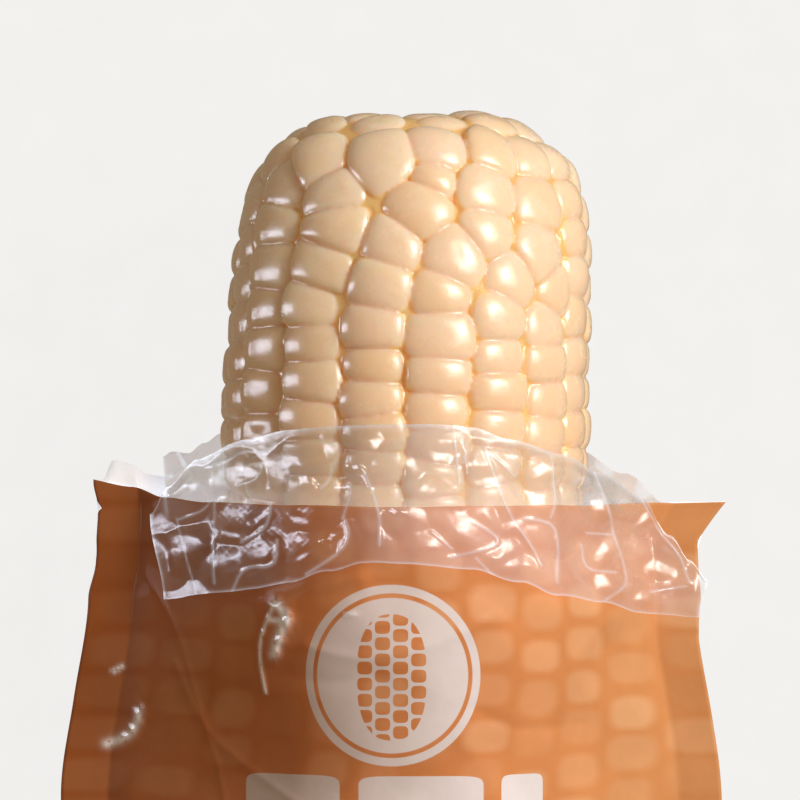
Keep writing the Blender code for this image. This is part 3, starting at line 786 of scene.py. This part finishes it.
clear = new_material("clear_film")
place = add(clear, "TexCoord").outputs["Object"]
smear = maths(clear, "SUBTRACT", noise(clear, place, 220.0, 3.0), 0.5)
# this attribute carries the film's milkiness together with its painted sheen, highlights and glow
cloudy_and_painted_light = maths(clear, "MULTIPLY_ADD", smear, 0.10, attribute(clear, "haze"), clamp=True)
ripples = noise(clear, place, 500.0, 3.0, 0.55)
bump = add(clear, "Bump", {"Height": ripples, "Strength": 0.25, "Distance": 0.25 * MM}).outputs[0]
through = add(clear, "BsdfTransparent", {"Color": (0.926, 0.928, 0.926, 1)})
lit_front = add(clear, "BsdfDiffuse", {"Color": linear("cfced6")})
# painted light: where it is milky the film glows with light of its own, as if lit from behind
painted_glow = add(clear, "Emission", {"Color": linear("d2e2f4"), "Strength": 0.62})
milky_and_glowing = add(clear, "AddShader", {0: lit_front.outputs[0], 1: painted_glow.outputs[0]})
film_mix = add(clear, "MixShader", {0: cloudy_and_painted_light, 1: through.outputs[0], 2: milky_and_glowing.outputs[0]})
shine = add(clear, "BsdfGlossy", {"Color": (1, 1, 1, 1), "Roughness": 0.28, "Normal": bump})
mirror = add(clear, "Fresnel", {"IOR": 1.5, "Normal": bump}).outputs[0]
mirror = maths(clear, "MINIMUM", maths(clear, "MULTIPLY", mirror, 1.7), 0.40)
film_mix = add(clear, "MixShader", {0: mirror, 1: film_mix.outputs[0], 2: shine.outputs[0]})
sheen = add(clear, "BsdfGlossy", {"Color": (1, 1, 1, 1), "Roughness": 0.42})
film_mix = add(clear, "MixShader", {0: 0.015, 1: film_mix.outputs[0], 2: sheen.outputs[0]})
add(clear, "OutputMaterial", {"Surface": film_mix.outputs[0]})

# across and along the pack: where the film bends over, and its free edge
fold_line = ((-35, 70.3), (-32.2, 73.9), (-27.8, 77.4), (-20.6, 79.6), (-15.1, 80.5), (-8.5, 80.8),
             (-0.7, 80.9), (8.4, 80.6), (13.6, 79.2), (20.5, 77.6), (26.3, 75.4), (32.6, 72.4),
             (36.9, 67.6), (39.6, 64.2), (42.1, 61.4))
free_edge = ((-32.9, 58.6), (-27.7, 59.3), (-20.5, 59.9), (-15.1, 60.8), (-9.8, 62.2),
             (-5.2, 63.1), (3.2, 62.8), (8.4, 62.3), (15, 60.7), (20.5, 59.1), (26.3, 58.3),
             (32.4, 56.9), (41, 56.3))
# where kernels pressed into the film: (x, y) in mm
prints = ((-33.5, 63.5), (-28.8, 65.3), (-29.2, 73.2), (-22.2, 69.1), (-24, 63), (-19, 64.3),
          (-22.7, 74.7), (-13.7, 75.8), (-12.4, 69.8), (-12.1, 64.9), (-20.5, 59.6), (-7, 78),
          (-5, 71.3), (-5.2, 65.5), (-1, 75.4), (-0.5, 69), (1.9, 64.4), (4, 78.4),
          (4.5, 71.3), (8.6, 75.2), (9.4, 67.5), (15, 75.8), (15.6, 70.8), (12, 63.2),
          (18.3, 66.6), (17.7, 61.4), (24.1, 75), (24.8, 70.3), (27, 65.4), (28, 60.5),
          (33.3, 70.4), (36.2, 64.4), (34.6, 59.2), (40, 60), (21.8, 60.2))
# sharp creases where the film buckled as it was folded out: (points, half width, height) in mm
sharp = (
    (((-25.5, 71.3), (-25.8, 66), (-25.6, 60.8)), 0.22, 0.55),
    (((-31.1, 69.6), (-30, 65.8), (-28.3, 59.5)), 0.14, 0.25),
    (((-17.6, 71.3), (-18.1, 67.8), (-21.7, 66.1)), 0.22, 0.45),
    (((-16.8, 66.3), (-16.9, 62.6), (-21.4, 63), (-23.1, 59.6)), 0.22, 0.50),
    (((-7.4, 73.6), (-6.9, 72.6), (-8.1, 68.9)), 0.20, 0.45),
    (((-7.8, 68.7), (-7.2, 67), (-8.1, 64.7), (-12.9, 61.8)), 0.24, 0.60),
    (((-9.4, 75.6), (-9.7, 74), (-10.9, 72.8)), 0.18, 0.35),
    (((-5.4, 74.6), (-4.2, 72.2), (-3.2, 68.4), (-3.4, 65.4)), 0.22, 0.55),
    (((-25.6, 72.4), (-27.2, 70.4), (-30.8, 69.4)), 0.16, 0.30),
    (((-18.9, 76.4), (-19.2, 74.2), (-22.2, 73.4)), 0.18, 0.40),
    (((-27, 76.4), (-24, 76.9), (-21, 78.4), (-18.4, 77.6)), 0.20, 0.40),
    (((6.2, 80.8), (6.9, 73.3)), 0.20, 0.55), (((7.2, 80.4), (7.9, 74.6)), 0.16, 0.40),
    (((10.3, 77.8), (14.2, 74.4)), 0.20, 0.45),
    (((10.3, 77.8), (13, 70.1), (16.5, 65.4), (17.8, 63)), 0.22, 0.60),
    (((19.2, 77.1), (19.4, 73.4), (19.8, 71.3), (19, 69.2)), 0.20, 0.50),
    (((15.4, 69), (19.6, 68.6), (20.2, 65), (20, 60.8)), 0.22, 0.50),
    (((24.9, 76.5), (27.6, 70), (28.4, 66.6), (30, 63.4), (30.4, 60.6), (27.2, 58.6)), 0.24, 0.65),
    (((23.5, 65.8), (24.1, 62.5), (28.6, 62.3)), 0.20, 0.45), (((24.2, 67.4), (27.8, 67.4)), 0.16, 0.30),
    (((32.3, 72.7), (35.2, 68.2), (38.4, 64.5), (39.4, 61)), 0.22, 0.50),
    (((33.8, 59.7), (38.8, 60.5)), 0.18, 0.35),
    (((8.1, 68.7), (12.2, 66.6), (11.7, 65.2), (5.6, 63.9)), 0.22, 0.65),
    (((9.1, 63.8), (11.8, 61.2)), 0.18, 0.40), (((3.4, 67.2), (6, 65)), 0.18, 0.40),
)
# small slack places that lie square to a lamp, so that they glint: (x, y, half width) in mm
to_key = ((18.3, 75.6, 1.8), (17.6, 71.3, 2.2), (26, 71, 2), (26.9, 65.4, 2.4), (26.8, 60.8, 2),
          (33.1, 70, 1.8), (35.4, 63, 1.9), (32.3, 58.8, 1.7), (7.4, 67.8, 2.9), (2.6, 72.4, 1.4),
          (4.4, 76.6, 1.5), (11.6, 73.4, 2), (14, 68.2, 1.4), (13.6, 62.8, 1.5), (22.6, 73.4, 1.5))
to_strip = ((-28.8, 66.3, 2.2), (-23.4, 67.2, 1.4), (-18.9, 69.4, 1.2), (-19.4, 64.6, 1.4),
            (-13.4, 68.6, 1.2), (-13.6, 63.8, 1.2), (-13, 73.8, 1.3), (-21.6, 75.4, 1.5),
            (-9.6, 66.6, 1), (-6.4, 75.4, 0.9), (-1.6, 69.8, 0.9), (-24.4, 72, 1.1))


def lean_to_light(x, y, z, places, slope_x, slope_y):
    """Height to add so that the surface has that slope, and bulges a little, in soft-edged
    long facets at places (x, y, half width) in mm, each turned its own way."""
    added = np.zeros_like(z)
    for cx, cy, half in places:
        level = z.flat[np.argmin((x - cx) ** 2 + (y - cy) ** 2)]
        dx, dy = x - cx, y - cy
        turn = 0.7 * math.sin(7 * cx + 3 * cy)
        far = dx * math.cos(turn) + dy * math.sin(turn)
        aside = dy * math.cos(turn) - dx * math.sin(turn)
        facet = level + slope_x * dx + slope_y * dy - 0.08 * (dx ** 2 + dy ** 2)
        added += (facet - z) * np.exp(-((far / (1.35 * half)) ** 2 + (aside / (0.62 * half)) ** 2) ** 1.6)
    return added


def fold_lift(x, y):
    """How much higher the film stands where it bends over the pouch's rim."""
    return 1.6 * eased((y - 70.0) / 3.0) * np.exp(-(x / 36) ** 4)


def quilt(x, y):
    """Domes of film that kernels had pressed out, which meet in soft valleys."""
    total = np.zeros_like(x)
    for cx, cy in prints:
        away = ((x - cx) * 0.88) ** 2 + (y - cy) ** 2
        total += np.exp(-away * 0.085 / 0.14)
    return 1.2 + 0.14 * np.log(total + 1e-6)


# the folded-out front: u runs across it, and v from the fold to its free edge
film_rng = np.random.default_rng(11)
u = np.linspace(-1, 1, 370)[None, :]
v = np.linspace(0, 1, 125)[:, None]
fold_x, edge_x = 3.55 + 38.55 * u, 4.05 + 36.95 * u
fold_y = curve(fold_line, fold_x)
edge_y = curve(free_edge, edge_x) + 0.07 * np.sin(edge_x * 0.9)
x = fold_x + (edge_x - fold_x) * eased(v)
y = fold_y + (edge_y - fold_y) * v
dome = quilt(x + waves(x, y, film_rng, 8, 9, 4, 0.45), y + waves(x, y, film_rng, 8, 9, 4, 0.45))
border = eased(v / 0.12) * (0.15 + 0.85 * eased((1 - v) / 0.14))
border = border * (0.3 + 0.7 * eased((1 - np.abs(u)) / 0.04))
relief = 1.3 * dome + 0.62 * strokes(x, y, [(line, 1.25 * half, tall) for line, half, tall in sharp])
relief += waves(x, y, film_rng, 16, 3.4, 1.3, 0.045)
embossed = eased((x + 27.7) / 2) * eased((-9.9 - x) / 4) * eased((71.4 - y) / 1) * eased((y - 63.6) / 2)
relief += 0.03 * embossed * np.sin(x * 6.0) * np.sin(y * 6.0)
on_pouch = height_over(x, y)
z = on_pouch + 0.75 + fold_lift(x, y) + np.clip(relief, -0.2, None) * (0.1 + 0.9 * border)
z += 0.40 * np.clip(-26 - x, 0, None)  # its left corner stands off the pouch
z += lean_to_light(x, y, z, [(cx, cy, 1.25 * half) for cx, cy, half in to_key], -0.41, -0.12) * border
z += lean_to_light(x, y, z, to_strip, 0.95, 0.0) * border
z += waves(x, y, film_rng, 14, 1.9, 0.9, 0.020)
above = z - on_pouch - 0.5  # it rests on the pouch and never sinks into it
z += (np.sqrt(above ** 2 + 0.15) - above) / 2
# painted sheen and highlight: it is milkier towards the right, standing in for the key light's sheen, and
# in its creases, standing in for their bright lines; it is also milkier along its edges and at the fold
from_fold, from_edge, from_left, from_right = v * 12, (1 - v) * 18, (1 + u) * 37, (1 - u) * 37
haze = 0.01 + 0.10 * eased((x + 10) / 12) * (1 - 0.4 * eased((x - 16) / 16))
haze += 0.06 * eased((71.5 - y) / 3) * eased((x + 12) / 20)
haze += 0.30 * np.clip(strokes(x, y, [(line, 0.8 * half, 1.0) for line, half, _ in sharp]), 0, 1)
haze += 0.30 * np.exp(-(from_edge / 0.22) ** 2) + 0.22 * np.exp(-(from_fold / 0.35) ** 2)
haze += 0.40 * np.exp(-(from_left / 0.25) ** 2) + 0.35 * np.exp(-(from_right / 0.35) ** 2)
haze += 0.22 * np.exp(-(from_left - 2.2) ** 2 / 0.08) * eased((0.35 - v) / 0.2)
blocks = [np.stack([x, y, z], axis=-1)]
hazes = [np.clip(haze, 0, 0.85)]

film_fin = 3.5  # how far its side seals stand out from the cob
tube_top = 64.0  # up to there the bag hugs the cob all round
film_gap = 1.2  # between the kernels' cores and the film


def film_section(y):
    """Bulge and height of the middle plane of the film where it hugs the cob."""
    s = (cob_end.y / MM - y) / math.cos(axis_tilt)
    near = np.clip(1 - s / (dome_length / MM), 0, None)
    round_end = cob_radius / MM * (1 - near ** 2.5) ** 0.2
    hug = round_end - taper * np.clip(s - widest_at / MM, 0, None) + film_gap
    to_bottom_seal = 0.545 * (200 - s) + 0.4
    return np.minimum(hug, to_bottom_seal), cob_end.z / MM - s * math.sin(axis_tilt)


def hugging(side, u, y):
    """Points of a panel of the bag. side is 1 in front and -1 behind, u runs across it."""
    bulge, middle = film_section(y)
    width = bulge + film_fin
    turn = np.arcsin(bulge / width)
    distance = np.abs(u) * (np.sqrt(width ** 2 - bulge ** 2) + bulge * turn)
    x, height, on_arc = around(distance, bulge, width)
    pressed = 0.28 * np.cos(distance / bulge * 9) ** 2 * np.cos(math.pi * y / 5.1) ** 2
    height = height + (pressed - 0.3) * on_arc
    return np.stack([np.sign(u) * x, y + 0 * u, middle + side * np.maximum(height, 0.12)], axis=-1)


# the inner layer of the front, from inside the pouch up to the fold
fold_u = np.linspace(-1, 1, 181)[None, :]
start_x = hugging(1, fold_u, np.full((1, 1), tube_top))[..., 0]
rise = np.linspace(0, 1, 44)[:, None]
top_x = 0.4 + 33.2 * fold_u
top_y = curve(fold_line, top_x)
inner_x = start_x + (top_x - start_x) * rise ** 1.5
inner_y = tube_top + (top_y - tube_top) * rise
bulge, middle = film_section(inner_y)
over_cob = middle + section_height(inner_x, bulge, bulge + film_fin, 0.0)
top_z = height_over(top_x, top_y) + 0.72 + fold_lift(top_x, top_y)
inner_z = over_cob + (top_z - over_cob[-1:]) * eased((rise - 0.35) / 0.65)
pressed = 0.35 * np.clip(quilt(inner_x + 3.0, inner_y + 2.0), 0, None)
inner_z += pressed * eased(rise / 0.2) * eased((1 - rise) / 0.12)
blocks.append(np.stack([inner_x, inner_y, inner_z], axis=-1))
hazes.append(np.full(inner_z.shape, 0.015))
tube_u = np.linspace(-1, 1, 121)[None, :]
low_rows = np.concatenate([np.linspace(-72, 60, 56)[:-1], np.linspace(60, tube_top, 6)])[:, None]
blocks.append(hugging(1, tube_u, low_rows))
hazes.append(np.full(blocks[-1].shape[:2], 0.05))

# the back panel, whose torn top crumples out to the left and runs out to the right
back_u = np.linspace(-1, 1, 221)[None, :]
back_t = np.linspace(0, 1, 50)[:, None]
back_top = curve(((-1.0, 78.6), (-0.96, 79.4), (-0.90, 79.4), (-0.82, 81.0), (-0.74, 82.6),
                  (-0.3, 82.2), (0.3, 82.0), (0.68, 80.2), (0.85, 76.6), (1.0, 72.4)), back_u)
back_y = tube_top + (back_top - tube_top) * back_t
shape = hugging(-1, back_u, back_y)
reach = np.clip((np.abs(back_u) - 0.62) / 0.38, 0, 1) ** 1.2 * eased((back_y - 67) / 7)
shape[..., 0] += np.where(back_u < 0, -3.4, 6.8) * reach
shape[..., 2] += waves(shape[..., 0], back_y, film_rng, 8, 8, 4, 0.50) * reach ** 0.6
folds = strokes(shape[..., 0], back_y, ((((-27.0, 82.0), (-29.6, 78.6), (-32.6, 76.0)), 0.35, 0.8),
                                        (((-31.8, 79.6), (-30.0, 76.4)), 0.30, 0.7),
                                        (((27.0, 78.0), (30.5, 75.0)), 0.5, 0.6)))
shape[..., 2] += folds * reach
blocks.append(shape)
# painted light: the crumpled top of the back panel is milky, so that it glows white though it lies in the
# cob's shadow
haze = 0.04 + np.where(back_u < 0, 0.62, 0.50) * reach + 0.25 * folds * reach
haze += 0.3 * np.exp(-((1 - back_t) * 15 / 0.3) ** 2) * (0.2 + reach)
hazes.append(np.clip(haze, 0, 0.85))
blocks.append(hugging(-1, tube_u, low_rows))
hazes.append(np.full(blocks[-1].shape[:2], 0.05))

faces, first = [], 0
for number, block in enumerate(blocks):
    rows, columns = block.shape[:2]
    # the folded-out front and the two panels behind the cob face the other way
    faces += grid_faces(rows, columns, first, flip=number in (0, 3, 4))
    first += rows * columns
film = mesh_object("clear_film_bag", np.vstack([block.reshape(-1, 3) for block in blocks]) * MM, faces,
                   [clear], haze=np.concatenate([part.ravel() for part in hazes]))
film.visible_shadow = False  # film this thin scatters light onward and hardly shades the cob
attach(film, "root")
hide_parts("inner_film_bag")
